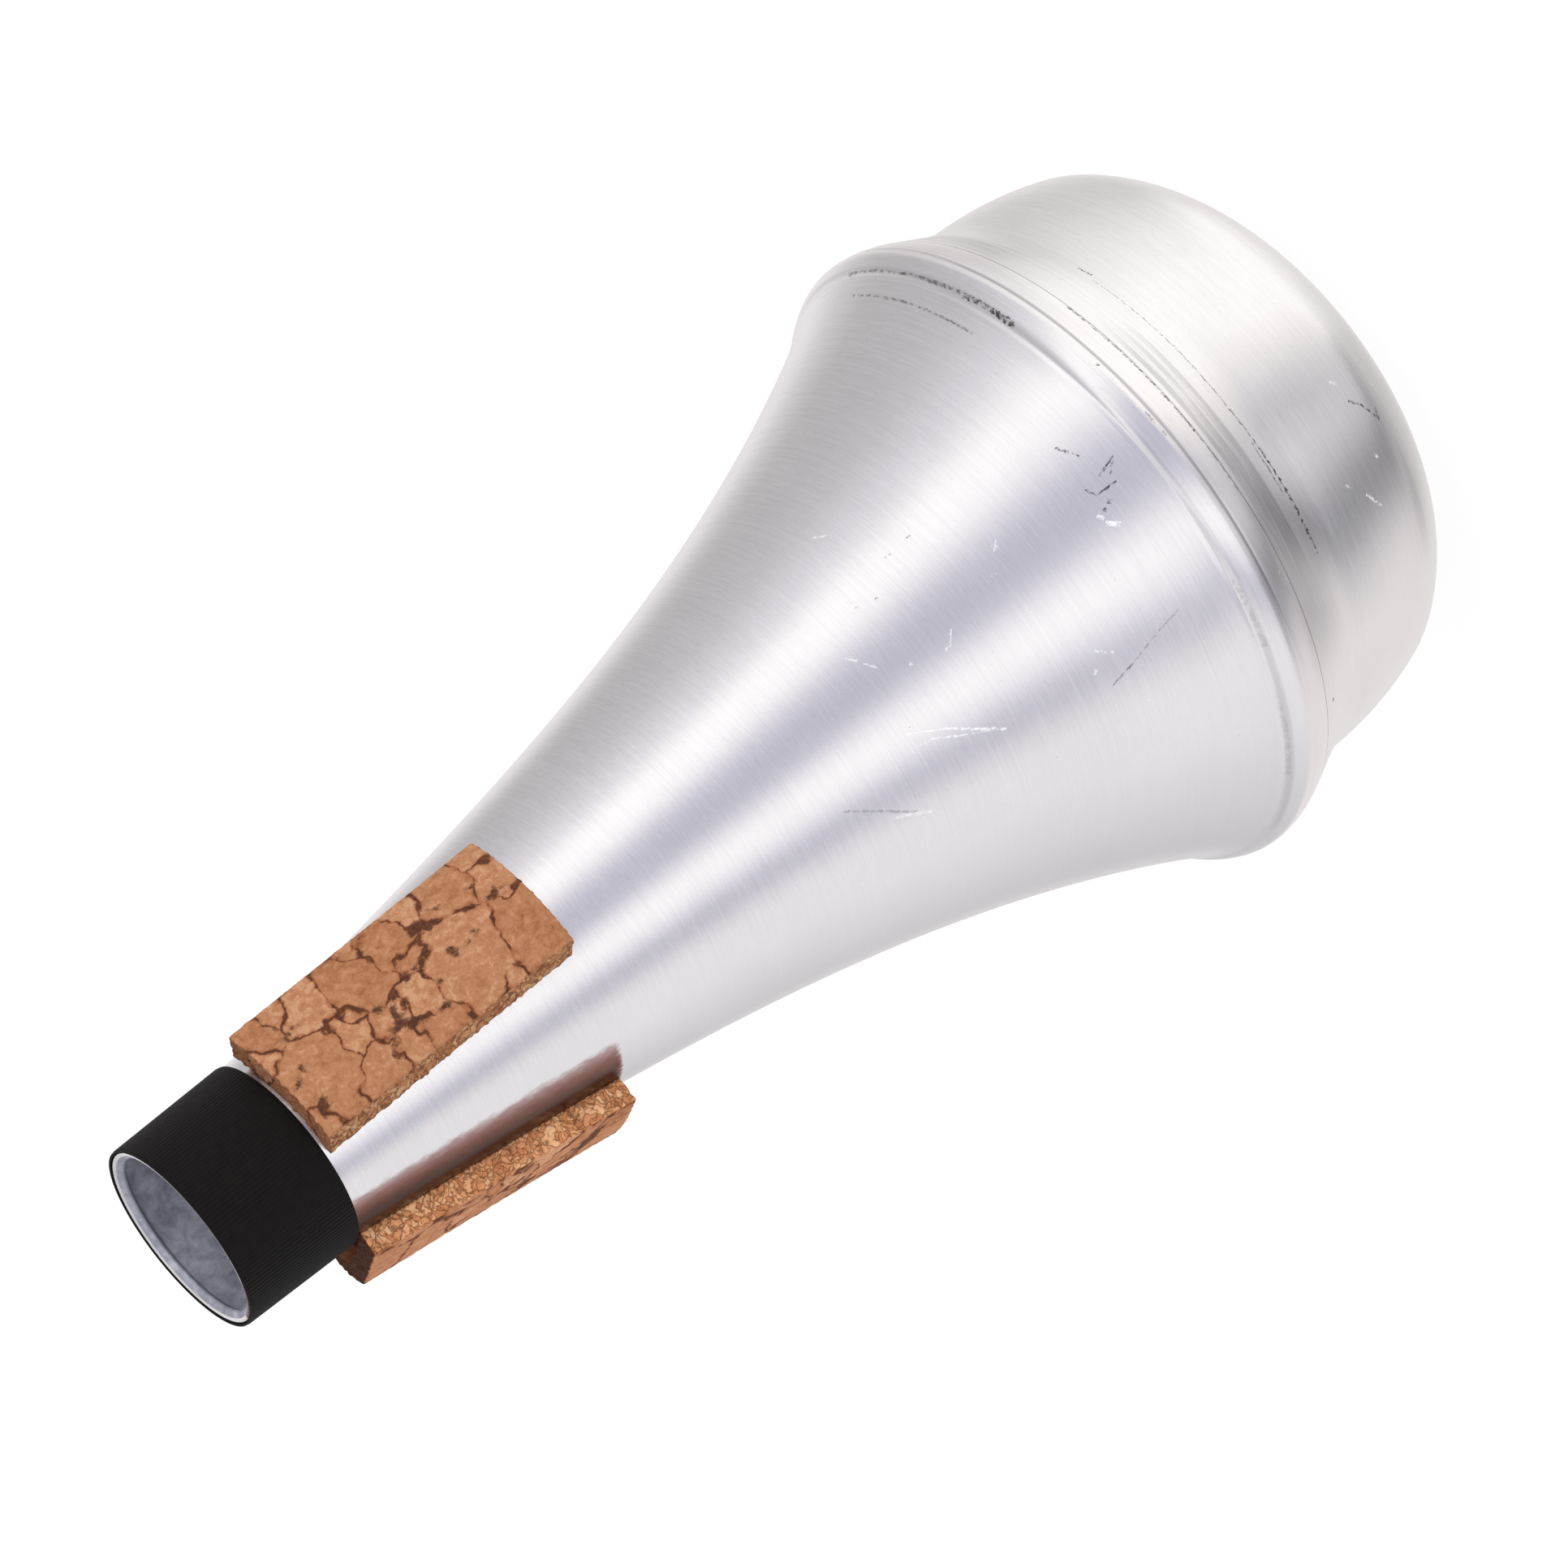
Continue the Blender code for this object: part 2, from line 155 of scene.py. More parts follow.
def turned_piece(name, outline, steps=LATHE_STEPS, closed=True):
    """Turn an outline of (radius, height) rows about Z.

    Point (i, j) is (r_i sin a_j, -r_i cos a_j, z_i), with a_j from 0 to a full turn.
    The outline runs down the outside, so that the faces look outwards. An outline that
    isn't closed starts and ends on the axis, and its ends are fans of triangles. The
    UV map holds the share of a turn and ten times the length along the outline.
    """
    rows = len(outline)
    around = np.linspace(0.0, 2.0 * np.pi, steps, endpoint=False)
    points = np.empty((rows, steps, 3))
    points[..., 0] = outline[:, :1] * np.sin(around)
    points[..., 1] = -outline[:, :1] * np.cos(around)
    points[..., 2] = outline[:, 1:]
    looped = np.vstack([outline, outline[:1]])
    along = np.concatenate([[0.0], np.cumsum(np.linalg.norm(np.diff(looped, axis=0), axis=1))])
    first = np.arange(rows if closed else rows - 1)
    row, column = np.meshgrid(first, np.arange(steps), indexing="ij")
    after = (column + 1) % steps
    under = (row + 1) % rows
    corners = np.stack([row * steps + column, under * steps + column,
                        under * steps + after, row * steps + after], axis=-1).reshape(-1, 4)
    u = np.stack([column, column, column + 1, column + 1], axis=-1).reshape(-1, 4) / steps
    v = np.stack([along[row], along[row + 1], along[row + 1], along[row]], axis=-1)
    uv = np.stack([u, 10.0 * v.reshape(-1, 4)], axis=-1)
    faces = corners.tolist()
    uv = uv.tolist()
    if not closed:
        last = len(faces) - steps
        for k in range(steps):
            faces[k] = [0, faces[k][1], faces[k][2]]
            uv[k] = uv[k][:3]
            faces[last + k] = [faces[last + k][0], (rows - 1) * steps, faces[last + k][3]]
            uv[last + k] = [uv[last + k][0], uv[last + k][1], uv[last + k][3]]
    mesh = bpy.data.meshes.new(name)
    mesh.from_pydata(points.reshape(-1, 3).tolist(), [], faces)
    layer = mesh.uv_layers.new(name="turned")
    layer.data.foreach_set("uv", [value for face in uv for corner in face for value in corner])
    mesh.shade_smooth()
    mesh.set_sharp_from_angle(angle=np.radians(50.0))
    piece = bpy.data.objects.new(name, mesh)
    bpy.context.scene.collection.objects.link(piece)
    return piece


def shade(red, green, blue):
    """A colour as the eye sees it, 0 to 255, made linear."""
    seen = np.array([red, green, blue]) / 255.0
    linear = np.where(seen <= 0.04045, seen / 12.92, ((seen + 0.055) / 1.055) ** 2.4)
    return (*[float(value) for value in linear], 1.0)


def add(tree, kind, sockets=None, **settings):
    """One node: its settings, then its sockets, each given a value or linked."""
    made = tree.nodes.new(kind)
    for key, value in settings.items():
        setattr(made, key, value)
    for key, value in (sockets or {}).items():
        if isinstance(value, bpy.types.NodeSocket):
            tree.links.new(value, made.inputs[key])
        else:
            made.inputs[key].default_value = value
    return made


def sum_of(tree, operation, *values, clamp=False):
    """One Math node on values or sockets, and its result."""
    made = add(tree, "ShaderNodeMath", dict(enumerate(values)), operation=operation)
    made.use_clamp = clamp
    return made.outputs[0]


def ramp(tree, factor, stops):
    """A ColorRamp of (place, colour) stops."""
    made = add(tree, "ShaderNodeValToRGB", {0: factor})
    made.color_ramp.interpolation = "LINEAR"
    points = made.color_ramp.elements
    while len(points) < len(stops):
        points.new(0.5)
    for point, (place, colour) in zip(points, stops):
        point.position = place
        point.color = colour
    return made.outputs[0]


def blended(tree, factor, first, second, way="MIX"):
    """One colour Mix node, and its result."""
    made = add(tree, "ShaderNodeMix", data_type="RGBA", blend_type=way)
    for key, value in ((0, factor), (6, first), (7, second)):
        if isinstance(value, bpy.types.NodeSocket):
            tree.links.new(value, made.inputs[key])
        else:
            made.inputs[key].default_value = value
    return made.outputs[2]


def new_material(name):
    """A material with its node tree and its shader."""
    material = bpy.data.materials.new(name)
    material.use_nodes = True
    tree = material.node_tree
    return material, tree, tree.nodes["Principled BSDF"]


def step(tree, value, low, high):
    """0 below the low value and 1 above the high one, or the other way round."""
    return add(tree, "ShaderNodeMapRange", {"Value": value, "From Min": low, "From Max": high},
               interpolation_type="SMOOTHSTEP").outputs[0]


def noise(tree, place, scale, detail=3.0, roughness=0.6, distortion=0.0):
    """One Noise node, and its value."""
    return add(tree, "ShaderNodeTexNoise",
               {"Vector": place, "Scale": scale, "Detail": detail, "Roughness": roughness,
                "Distortion": distortion}).outputs[0]


def marks(tree, place, scratches):
    """How strongly a point is covered by scratches: 0 outside them, 1 in the deepest.

    The metal is rolled out flat. A point is in a scratch where it lies between the two
    ends, measured along the scratch, and within the half width, measured across it.
    """
    covered = 0.0
    for turn_a, height_a, turn_b, height_b, half_width, strength in scratches:
        start = np.array([np.radians(turn_a) * UNROLLED_RADIUS, height_a])
        end = np.array([np.radians(turn_b) * UNROLLED_RADIUS, height_b])
        length = np.linalg.norm(end - start)
        inside = strength
        for way, reach in (((end - start) / length, length / 2.0 + half_width / 2.0),
                           ((end - start)[::-1] * (-1.0, 1.0) / length, half_width)):
            at = add(tree, "ShaderNodeVectorMath", {0: place, 1: (way[0], way[1], 0.0)},
                     operation="DOT_PRODUCT").outputs["Value"]
            near = sum_of(tree, "COMPARE", at, float(way @ (start + end) / 2.0), float(reach))
            inside = sum_of(tree, "MULTIPLY", near, inside)
        covered = sum_of(tree, "MAXIMUM", covered, inside)
    return covered


def spun_metal(name, colour, dark_marks, bright_marks, painted_reflection_bands, painted_cork_reflection=False):
    """Aluminium with lathe lines round the axis, and with marks of use.

    The lines are noise read at (cos a, sin a, length along the outline), stretched so
    that one line runs far round the mute and is a fraction of a millimetre wide. Marks
    are placed on the metal rolled out flat, as (turn times a radius, height).
    """
    material, tree, shader = new_material(name)
    place = add(tree, "ShaderNodeTexCoord").outputs["Object"]
    flat = add(tree, "ShaderNodeVectorMath", {0: place, 1: (1.0, 1.0, 0.0)},
               operation="MULTIPLY")
    around = add(tree, "ShaderNodeVectorMath", {0: flat.outputs[0]}, operation="NORMALIZE")
    turns = add(tree, "ShaderNodeSeparateXYZ", {0: around.outputs[0]})
    along = add(tree, "ShaderNodeSeparateXYZ",
                {0: add(tree, "ShaderNodeUVMap", uv_map="turned").outputs[0]}).outputs[1]
    level = sum_of(tree, "MULTIPLY",
                   add(tree, "ShaderNodeSeparateXYZ", {0: place}).outputs[2], 1000.0)
    turn = sum_of(tree, "ARCTAN2", turns.outputs[0],
                  sum_of(tree, "MULTIPLY", turns.outputs[1], -1.0))
    unrolled = add(tree, "ShaderNodeCombineXYZ",
                   {0: sum_of(tree, "MULTIPLY", turn, UNROLLED_RADIUS), 1: level}).outputs[0]

    def lines(reach, per_metre, detail):
        """Noise that is long round the axis and short along the outline."""
        where = add(tree, "ShaderNodeCombineXYZ",
                    {0: sum_of(tree, "MULTIPLY", turns.outputs[0], reach),
                     1: sum_of(tree, "MULTIPLY", turns.outputs[1], reach),
                     2: sum_of(tree, "MULTIPLY", along, per_metre / 10.0)})
        return noise(tree, where.outputs[0], 1.0, detail)

    fine, broad, short, rings, hair = [
        lines(*kind) for kind in (FINE_LINES, BROAD_LINES, SHORT_LINES, RING_LINES, THIN_LINES)]

    # Brushed tone, fainter on the side that is polished smoother
    cloud = noise(tree, place, 70.0, 4.0)
    tone = sum_of(tree, "MULTIPLY_ADD", fine, 0.17, sum_of(tree, "MULTIPLY", short, 0.10))
    tone = sum_of(tree, "MULTIPLY_ADD", rings, 0.09, tone)
    tone = sum_of(tree, "SUBTRACT", tone, 0.18)
    facing = add(tree, "ShaderNodeVectorMath", {0: around.outputs[0], 1: SMOOTH_SIDE},
                 operation="DOT_PRODUCT").outputs["Value"]
    polished = sum_of(tree, "MULTIPLY_ADD", step(tree, facing, 0.88, 0.45), 0.8, 0.2)
    tone = sum_of(tree, "MULTIPLY_ADD", tone, polished, 0.95)
    tone = sum_of(tree, "MULTIPLY_ADD", cloud, 0.10, tone)
    base = blended(tree, 1.0, colour, tone, "MULTIPLY")
    thin = sum_of(tree, "MULTIPLY", step(tree, hair, 0.62, 0.72), polished)
    base = blended(tree, sum_of(tree, "MULTIPLY", thin, 0.12), base, shade(120, 120, 128))

    # Small dark pits, in patches
    rubbed = step(tree, noise(tree, unrolled, 0.09, 2.0), 0.46, 0.60)
    pits = step(tree, noise(tree, unrolled, 1.3, 4.0, 0.7), 0.69, 0.74)
    base = blended(tree, sum_of(tree, "MULTIPLY", sum_of(tree, "MULTIPLY", pits, rubbed), 0.6),
                   base, shade(110, 108, 118))

    # Painted brown reflection and shadow of the lower cork strip, deeper the further past its
    # edge, with an uneven edge and foot
    if painted_cork_reflection:
        edge = sum_of(tree, "MULTIPLY_ADD", level, -CORK_REFLECTION_SKEW,
                      CORK_REFLECTION_SKEW * CORK_REFLECTION_FOOT - CORK_REFLECTION_TURN)
        edge = sum_of(tree, "MULTIPLY_ADD", turn, float(180.0 / np.pi), edge)
        edge = sum_of(tree, "MULTIPLY_ADD", noise(tree, unrolled, 0.5, 4.0, 0.7), 6.0, edge)
        deep = sum_of(tree, "MULTIPLY_ADD", edge, -1.0 / CORK_REFLECTION_REACH, 0.15)
        deep = sum_of(tree, "MULTIPLY", deep, step(tree, edge, -40.0, -33.0), clamp=True)
        foot = sum_of(tree, "MULTIPLY_ADD", noise(tree, unrolled, 0.9), 1.2, CORK_REFLECTION_FOOT - 1.2)
        deep = sum_of(tree, "MULTIPLY", deep,
                      step(tree, sum_of(tree, "SUBTRACT", level, foot), 0.0, 1.0))
        tint = ramp(tree, deep, [(0.0, (1.0, 1.0, 1.0, 1.0)), (0.16, shade(196, 170, 166)),
                                 (0.36, shade(162, 121, 113)), (0.56, shade(136, 94, 82)),
                                 (0.76, shade(106, 72, 58)), (0.97, shade(76, 46, 32))])
        base = blended(tree, 1.0, base, tint, "MULTIPLY")

    # Painted dark reflection bands with soft ends, broken up by the broad lines
    for low, high, first_turn, last_turn, strength in painted_reflection_bands:
        band = sum_of(tree, "MULTIPLY", step(tree, level, low - 0.25, low + 0.15),
                      step(tree, level, high + 0.25, high - 0.15))
        band = sum_of(tree, "MULTIPLY", band, step(tree, turn, first_turn - 0.2, first_turn))
        band = sum_of(tree, "MULTIPLY", band, step(tree, turn, last_turn + 0.2, last_turn))
        band = sum_of(tree, "MULTIPLY", band, step(tree, broad, 0.30, 0.56))
        base = blended(tree, sum_of(tree, "MULTIPLY", band, strength), base,
                       shade(70, 66, 76))

    # Scratches that wander a little and are broken up, and fine bright nicks
    wander = add(tree, "ShaderNodeTexNoise",
                 {"Vector": unrolled, "Scale": 2.2, "Detail": 3.0}).outputs["Color"]
    wander = add(tree, "ShaderNodeVectorMath",
                 {0: wander, 1: (0.44, 0.44, 0.0), 2: (-0.22, -0.22, 0.0)},
                 operation="MULTIPLY_ADD").outputs[0]
    ragged = add(tree, "ShaderNodeVectorMath", {0: unrolled, 1: wander},
                 operation="ADD").outputs[0]
    flecks = noise(tree, unrolled, 1.6, 5.0, 0.75)
    dark = sum_of(tree, "MULTIPLY", marks(tree, ragged, dark_marks),
                  step(tree, flecks, 0.42, 0.56))
    base = blended(tree, dark, base, shade(38, 34, 38))
    bright = sum_of(tree, "MULTIPLY", marks(tree, ragged, bright_marks),
                    step(tree, flecks, 0.42, 0.56))
    nicks = step(tree, noise(tree, place, 1500.0, 3.0, 0.7), 0.70, 0.75)
    nicks = sum_of(tree, "MULTIPLY", nicks, step(tree, cloud, 0.50, 0.62))
    bright = sum_of(tree, "MAXIMUM", bright, sum_of(tree, "MULTIPLY", nicks, 0.8))
    base = blended(tree, bright, base, (1.0, 1.0, 1.0, 1.0))
    tree.links.new(base, shader.inputs["Base Color"])

    # Gloss and relief
    tree.links.new(sum_of(tree, "SUBTRACT", 1.0, sum_of(tree, "MULTIPLY", bright, 0.8)),
                   shader.inputs["Metallic"])
    rough = sum_of(tree, "MULTIPLY_ADD", short, 0.10, 0.20)
    rough = sum_of(tree, "MULTIPLY_ADD", dark, 0.4, rough)
    tree.links.new(rough, shader.inputs["Roughness"])
    height = sum_of(tree, "MULTIPLY_ADD", fine, 1.5, sum_of(tree, "MULTIPLY", broad, 0.7))
    height = sum_of(tree, "MULTIPLY_ADD", short, 0.2, height)
    bump = add(tree, "ShaderNodeBump",
               {"Strength": 0.6, "Distance": 0.000008, "Height": height})
    tree.links.new(bump.outputs[0], shader.inputs["Normal"])
    tangent = add(tree, "ShaderNodeTangent", direction_type="UV_MAP", uv_map="turned")
    tree.links.new(tangent.outputs[0], shader.inputs["Tangent"])
    shader.inputs["Anisotropic"].default_value = 0.5
    shader.inputs["Anisotropic Rotation"].default_value = 0.25
    return material


def unpolished_metal(name):
    """The inside of a spinning: dull grey, mottled, with no lathe lines."""
    material, tree, shader = new_material(name)
    place = add(tree, "ShaderNodeTexCoord").outputs["Object"]
    blotches = noise(tree, place, 420.0, 5.0, 0.65, 0.4)
    grey = ramp(tree, blotches, [(0.30, shade(128, 129, 140)), (0.50, shade(162, 163, 174)),
                                 (0.68, shade(196, 197, 206))])
    tree.links.new(grey, shader.inputs["Base Color"])
    shader.inputs["Metallic"].default_value = 0.35
    shader.inputs["Roughness"].default_value = 0.6
    bump = add(tree, "ShaderNodeBump",
               {"Strength": 0.4, "Distance": 0.00005, "Height": blotches})
    tree.links.new(bump.outputs[0], shader.inputs["Normal"])
    return material


# The rows lie closer together from a little above the crease down to the seam
close_top = crease_height + CLOSE_ROWS
outer_heights = np.concatenate([
    np.linspace(MUTE_LENGTH - CURL_ROUNDING, neck_foot, 30, endpoint=False),
    np.linspace(neck_foot, close_top, 110, endpoint=False),
    np.linspace(close_top, seam_height, 90)])
inner_heights = np.concatenate([
    np.linspace(MUTE_LENGTH - CURL_DEPTH - 2.0 * CURL_ROUNDING, close_top, 60, endpoint=False),
    np.linspace(close_top, seam_height, 24)])
outside = np.stack([metal_radius(outer_heights), outer_heights], axis=1)
inside = beside(np.stack([metal_radius(inner_heights), inner_heights], axis=1), -SHELL_SHEET)
crease = np.exp(-((outer_heights - crease_height) / CREASE_SPREAD) ** 2)
outside[:, 0] -= CREASE_DEPTH * crease
ridge_mark = np.exp(-((outer_heights - RIDGE_MARK_HEIGHT) / RIDGE_MARK_SPREAD) ** 2)
outside[:, 0] -= RIDGE_MARK_DEPTH * ridge_mark
# The curl slopes up from its inner edge to a narrow crest, in millimetres in and down
curl_corners = np.array([MOUTH_RADIUS, MUTE_LENGTH]) - 0.001 * np.array(
    [(0.80, 1.20), (0.98, 1.15), (1.17, 0.95), (1.20, 0.75), (1.08, 0.55), (0.58, 0.15),
     (0.38, 0.02), (0.23, 0.0), (0.08, 0.04), (0.0, 0.16)])
cone = turned_piece("spun_cone", np.vstack([outside, inside[::-1], curl_corners]))
# The cone's colour also carries a painted brown reflection and shadow of the lower cork strip
cone.data.materials.append(spun_metal("spun_aluminium_cone", shade(238, 235, 236), CONE_DARK,
                                      CONE_BRIGHT, CONE_REFLECTION_BANDS, painted_cork_reflection=True))
cone.data.materials.append(unpolished_metal("unpolished_aluminium"))
row = np.arange(len(cone.data.polygons)) // LATHE_STEPS
dull = (row >= len(outside)) & (row < len(outside) + len(inside) + DULL_CURL_ROWS)
cone.data.polygons.foreach_set("material_index", dull.astype(np.int32))
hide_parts("cone_shell")
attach(cone, "root")


# End cup
# The closed bottom of the mute: a second aluminium sheet, spun to a flared lip, a short
# wall and a large round-over. The lip is stepped in, and the cone's rim is rolled over
# it, which is all that holds the two together.
CUP_SHEET = 0.0008
COVE_HEIGHT = 0.0096
COVE_DEPTH = 0.0032
COVE_SWEEP = 1.68
WALL_BOW_RADIUS = 0.0425
WALL_BOW_TURN = np.radians(17.0)
KNUCKLE_RADIUS = 0.0105
KNUCKLE_TURN = np.radians(16.2)
LIP_RISE = 0.0042
LIP_GAP = 0.0003
SEAM_GAP = 0.00007
# Painted dark reflection bands on the cup, as for the cone
CUP_REFLECTION_BANDS = [(29.8, 33.3, -0.35, 0.25, 0.30), (29.8, 33.3, 0.95, 1.6, 0.24)]
CUP_DARK = [
    (34, 27.6, 13.5, 27.5, 0.08, 0.45), (13.5, 27.5, 0.8, 27.6, 0.08, 0.55),
    (0.8, 27.6, -8.2, 27.45, 0.12, 0.7), (-8.2, 27.45, -18.0, 27.5, 0.15, 0.9),
    (-18.0, 27.5, -24.5, 27.6, 0.18, 0.9), (-24.5, 27.6, -28.2, 27.6, 0.13, 0.9),
    (-6.0, 28.0, -16.0, 28.1, 0.1, 0.7), (-11.0, 13.5, -13.0, 12.2, 0.15, 0.7),
    (-13.0, 12.2, -17.0, 10.8, 0.14, 0.8), (-15.5, 10.4, -17.5, 10.7, 0.25, 0.8),
    (38.0, 27.2, 35.0, 27.0, 0.12, 0.7), (-53.9, 32.2, -53.5, 32.2, 0.2, 0.8)]
CUP_BRIGHT = [
    (-6.2, 14.2, -7.5, 13.6, 0.16, 0.7), (-21.5, 14.1, -22.5, 13.9, 0.2, 0.9),
    (-26.2, 17.8, -30.0, 16.5, 0.18, 0.9), (-22.0, 20.0, -23.0, 19.6, 0.14, 0.6)]

wall_top = np.array([RIM_RADIUS - SEAM_INSET - COVE_DEPTH, seam_height - COVE_HEIGHT])


def arc_down(start, turned, radius, turn, count):
    """An arc that leans in by the angle turned at its start, and further by turn at its end.

    Point k is the start less radius times (cos turned - cos lean_k, sin lean_k - sin turned).
    """
    lean = np.linspace(turned, turned + turn, count + 1)[1:]
    return np.stack([start[0] - radius * (np.cos(turned) - np.cos(lean)),
                     start[1] - radius * (np.sin(lean) - np.sin(turned))], axis=1)


cove_heights = np.linspace(seam_height - SEAM_GAP, wall_top[1], 70)
share = (cove_heights - wall_top[1]) / COVE_HEIGHT
cove = np.stack([wall_top[0] + COVE_DEPTH * (COVE_SWEEP * share ** 2
                                             + (1.0 - COVE_SWEEP) * share ** 3),
                 cove_heights], axis=1)
wall = arc_down(cove[-1], 0.0, WALL_BOW_RADIUS, WALL_BOW_TURN, 40)
knuckle = arc_down(wall[-1], WALL_BOW_TURN, KNUCKLE_RADIUS, KNUCKLE_TURN, 20)
lean = WALL_BOW_TURN + KNUCKLE_TURN
round_over_radius = knuckle[-1, 1] / (1.0 - np.sin(lean))
round_over = arc_down(knuckle[-1], lean, round_over_radius, np.pi / 2.0 - lean, 50)
flat_end = np.stack([np.linspace(round_over[-1, 0], 0.0, 16)[1:], np.zeros(15)], axis=1)
body = np.vstack([cove, wall, knuckle, round_over])
lip_heights = np.linspace(seam_height + LIP_RISE, seam_height - SEAM_GAP, 20)
lip = beside(np.stack([metal_radius(lip_heights), lip_heights], axis=1),
             -(SHELL_SHEET + LIP_GAP))
lip_inside = beside(lip, -CUP_SHEET)
body_inside = beside(body, -CUP_SHEET)
body_inside = body_inside[body_inside[:, 1] < lip_inside[-1, 1] - CUP_SHEET][::3]
floor_inside = np.array([(0.6 * body_inside[-1, 0], CUP_SHEET), (0.0, CUP_SHEET)])
lip_top = np.array([(0.5 * (lip[0, 0] + lip_inside[0, 0]), lip[0, 1] + 0.4 * CUP_SHEET)])
cup_inside = np.vstack([lip_inside, body_inside, floor_inside])[::-1]
cup = turned_piece("end_cup_spinning", np.vstack([cup_inside, lip_top, lip, body, flat_end]),
                   closed=False)
cup.data.materials.append(spun_metal("spun_aluminium_cup", shade(235, 233, 233), CUP_DARK,
                                     CUP_BRIGHT, CUP_REFLECTION_BANDS))
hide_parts("end_cup")
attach(cup, "root")


# Neck sleeve
# A thin black tube with fine ribs along it, stretched over the neck so that it stands
# just past the metal edge.
SLEEVE_WALL = 0.00032
SLEEVE_LENGTH = 0.0155
SLEEVE_OVERHANG = 0.00035
SLEEVE_CUT = 0.00025
SLEEVE_GAP = 0.00010
SLEEVE_ROWS = 40
SLEEVE_STEPS = 384
RIB_COUNT = 140.0
RIB_LEAN = 6.0

sleeve_top = MUTE_LENGTH + SLEEVE_OVERHANG
sleeve_heights = np.linspace(sleeve_top - SLEEVE_CUT, sleeve_top - SLEEVE_LENGTH,
                             SLEEVE_ROWS)
sleeve_bore = metal_radius(sleeve_heights) + SLEEVE_GAP
sleeve_outline = np.vstack([
    np.stack([sleeve_bore + SLEEVE_WALL, sleeve_heights], axis=1),
    np.stack([sleeve_bore, sleeve_heights], axis=1)[::-1]])
sleeve_outline[[0, SLEEVE_ROWS - 1], 0] -= SLEEVE_WALL / 4.0
sleeve = turned_piece("black_neck_sleeve", sleeve_outline, steps=SLEEVE_STEPS)
black, tree, shader = new_material("black_ribbed_rubber")
uv = add(tree, "ShaderNodeSeparateXYZ",
         {0: add(tree, "ShaderNodeUVMap", uv_map="turned").outputs[0]})
twist = sum_of(tree, "MULTIPLY", uv.outputs[0], 2.0 * np.pi * RIB_COUNT)
twist = sum_of(tree, "MULTIPLY_ADD", uv.outputs[1], RIB_LEAN, twist)
rib = sum_of(tree, "SINE", twist)
dust = noise(tree, add(tree, "ShaderNodeTexCoord").outputs["Object"], 900.0, 5.0, 0.65)
tree.links.new(ramp(tree, dust, [(0.3, shade(10, 7, 6)), (0.75, shade(20, 16, 14))]),
               shader.inputs["Base Color"])
shader.inputs["Roughness"].default_value = 0.7
shader.inputs["Specular IOR Level"].default_value = 0.18
rib_height = sum_of(tree, "MULTIPLY_ADD", dust, 0.8, rib)
bump = add(tree, "ShaderNodeBump", {"Strength": 0.8, "Distance": 0.00008, "Height": rib_height})
tree.links.new(bump.outputs[0], shader.inputs["Normal"])
sleeve.data.materials.append(black)
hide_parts("neck_sleeve")
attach(sleeve, "root")


# Cork strips
# Three blocks cut from a sheet of pressed cork flakes, bent round the neck and glued there
# by hand. The outer face shows flat flakes with dark cracks, and the cut sides are crumbly.
# The upper strip stands off at one corner, and the lower one in a lengthwise fold.
CORK_LENGTH = 0.0348
CORK_WIDTH = 0.0174
CORK_HEIGHT = 0.0030
CORK_ROUNDING = 0.0003
CORK_TO_SLEEVE = 0.0005
CORK_LIFT = 0.0017
FOLD_NEAR_PLACE = 0.0108
FOLD_FAR_PLACE = 0.0128
FOLD_NEAR_RISE = 0.0040
FOLD_FAR_RISE = 0.0030
FOLD_POWER = 1.8
CORK_GRID = (144, 288, 12)
FLAKE_LEVEL = 3.0
FLAKE_COUNT, SMALLEST_FLAKE, LARGEST_FLAKE = 26, 0.6, 3.0
PIT_COUNT, SMALLEST_PIT, LARGEST_PIT = 14, 0.3, 0.8
FACE_RELIEF, FACE_CRUMB = 0.00003, 0.0011
SIDE_RELIEF, SIDE_CRUMB, SIDE_LOSS = 0.00009, 0.0009, 0.00007
cork_top = sleeve_top - SLEEVE_LENGTH - CORK_TO_SLEEVE

# Flakes of the upper strip, as (down, across, half width), and dark pits in its cracks,
# as (down, across, radius), in millimetres from its near end and its middle
UPPER_FLAKES = [
    (2.4, 5.4, 1.5), (5.4, 6.8, 1.2), (8.3, 4.8, 2.5), (13.6, 3.4, 3.4), (16.0, 7.0, 0.7),
    (19.2, 4.5, 2.8), (23.6, 6.8, 1.4), (28.1, 5.1, 2.9), (32.6, 7.0, 1.1), (32.4, 3.1, 1.4),
    (25.0, -2.4, 4.7), (31.4, -4.1, 3.3), (17.9, -3.0, 1.8), (4.0, -2.7, 3.9), (9.3, -1.6, 1.9),
    (9.4, -6.4, 2.1), (11.9, -2.4, 0.8), (13.9, -6.9, 1.2), (17.2, -6.9, 1.7), (0.3, 3.4, 0.8),
    (0.4, -6.9, 1.0), (26.9, -7.7, 0.7), (11.1, 0.6, 0.8), (15.2, -2.4, 0.5), (20.0, 1.6, 1.6)]
UPPER_PITS = [
    (14.4, -2.4, 0.75), (13.9, -3.8, 0.85), (15.1, -4.9, 0.95), (23.1, 3.7, 1.15),
    (23.8, -1.4, 0.6), (25.9, -1.2, 0.3), (27.1, -0.9, 0.25), (2.8, -0.6, 0.4),
    (1.2, -2.1, 0.35), (1.9, -6.0, 0.9), (4.4, 4.8, 0.4), (4.4, 3.6, 0.35), (5.5, 3.6, 0.3),
    (16.8, 6.5, 0.4), (31.4, 0.8, 0.55), (17.8, 0.0, 0.45), (19.2, 0.0, 0.4), (20.4, 0.1, 0.45),
    (15.6, -1.3, 0.5), (13.3, -0.9, 0.55), (11.8, -6.3, 0.4), (19.2, -5.5, 0.35),
    (30.3, 3.4, 0.35), (26.1, 4.5, 0.3), (20.6, -2.7, 0.35), (10.1, 0.6, 0.3),
    (25.2, 5.8, 0.45)]


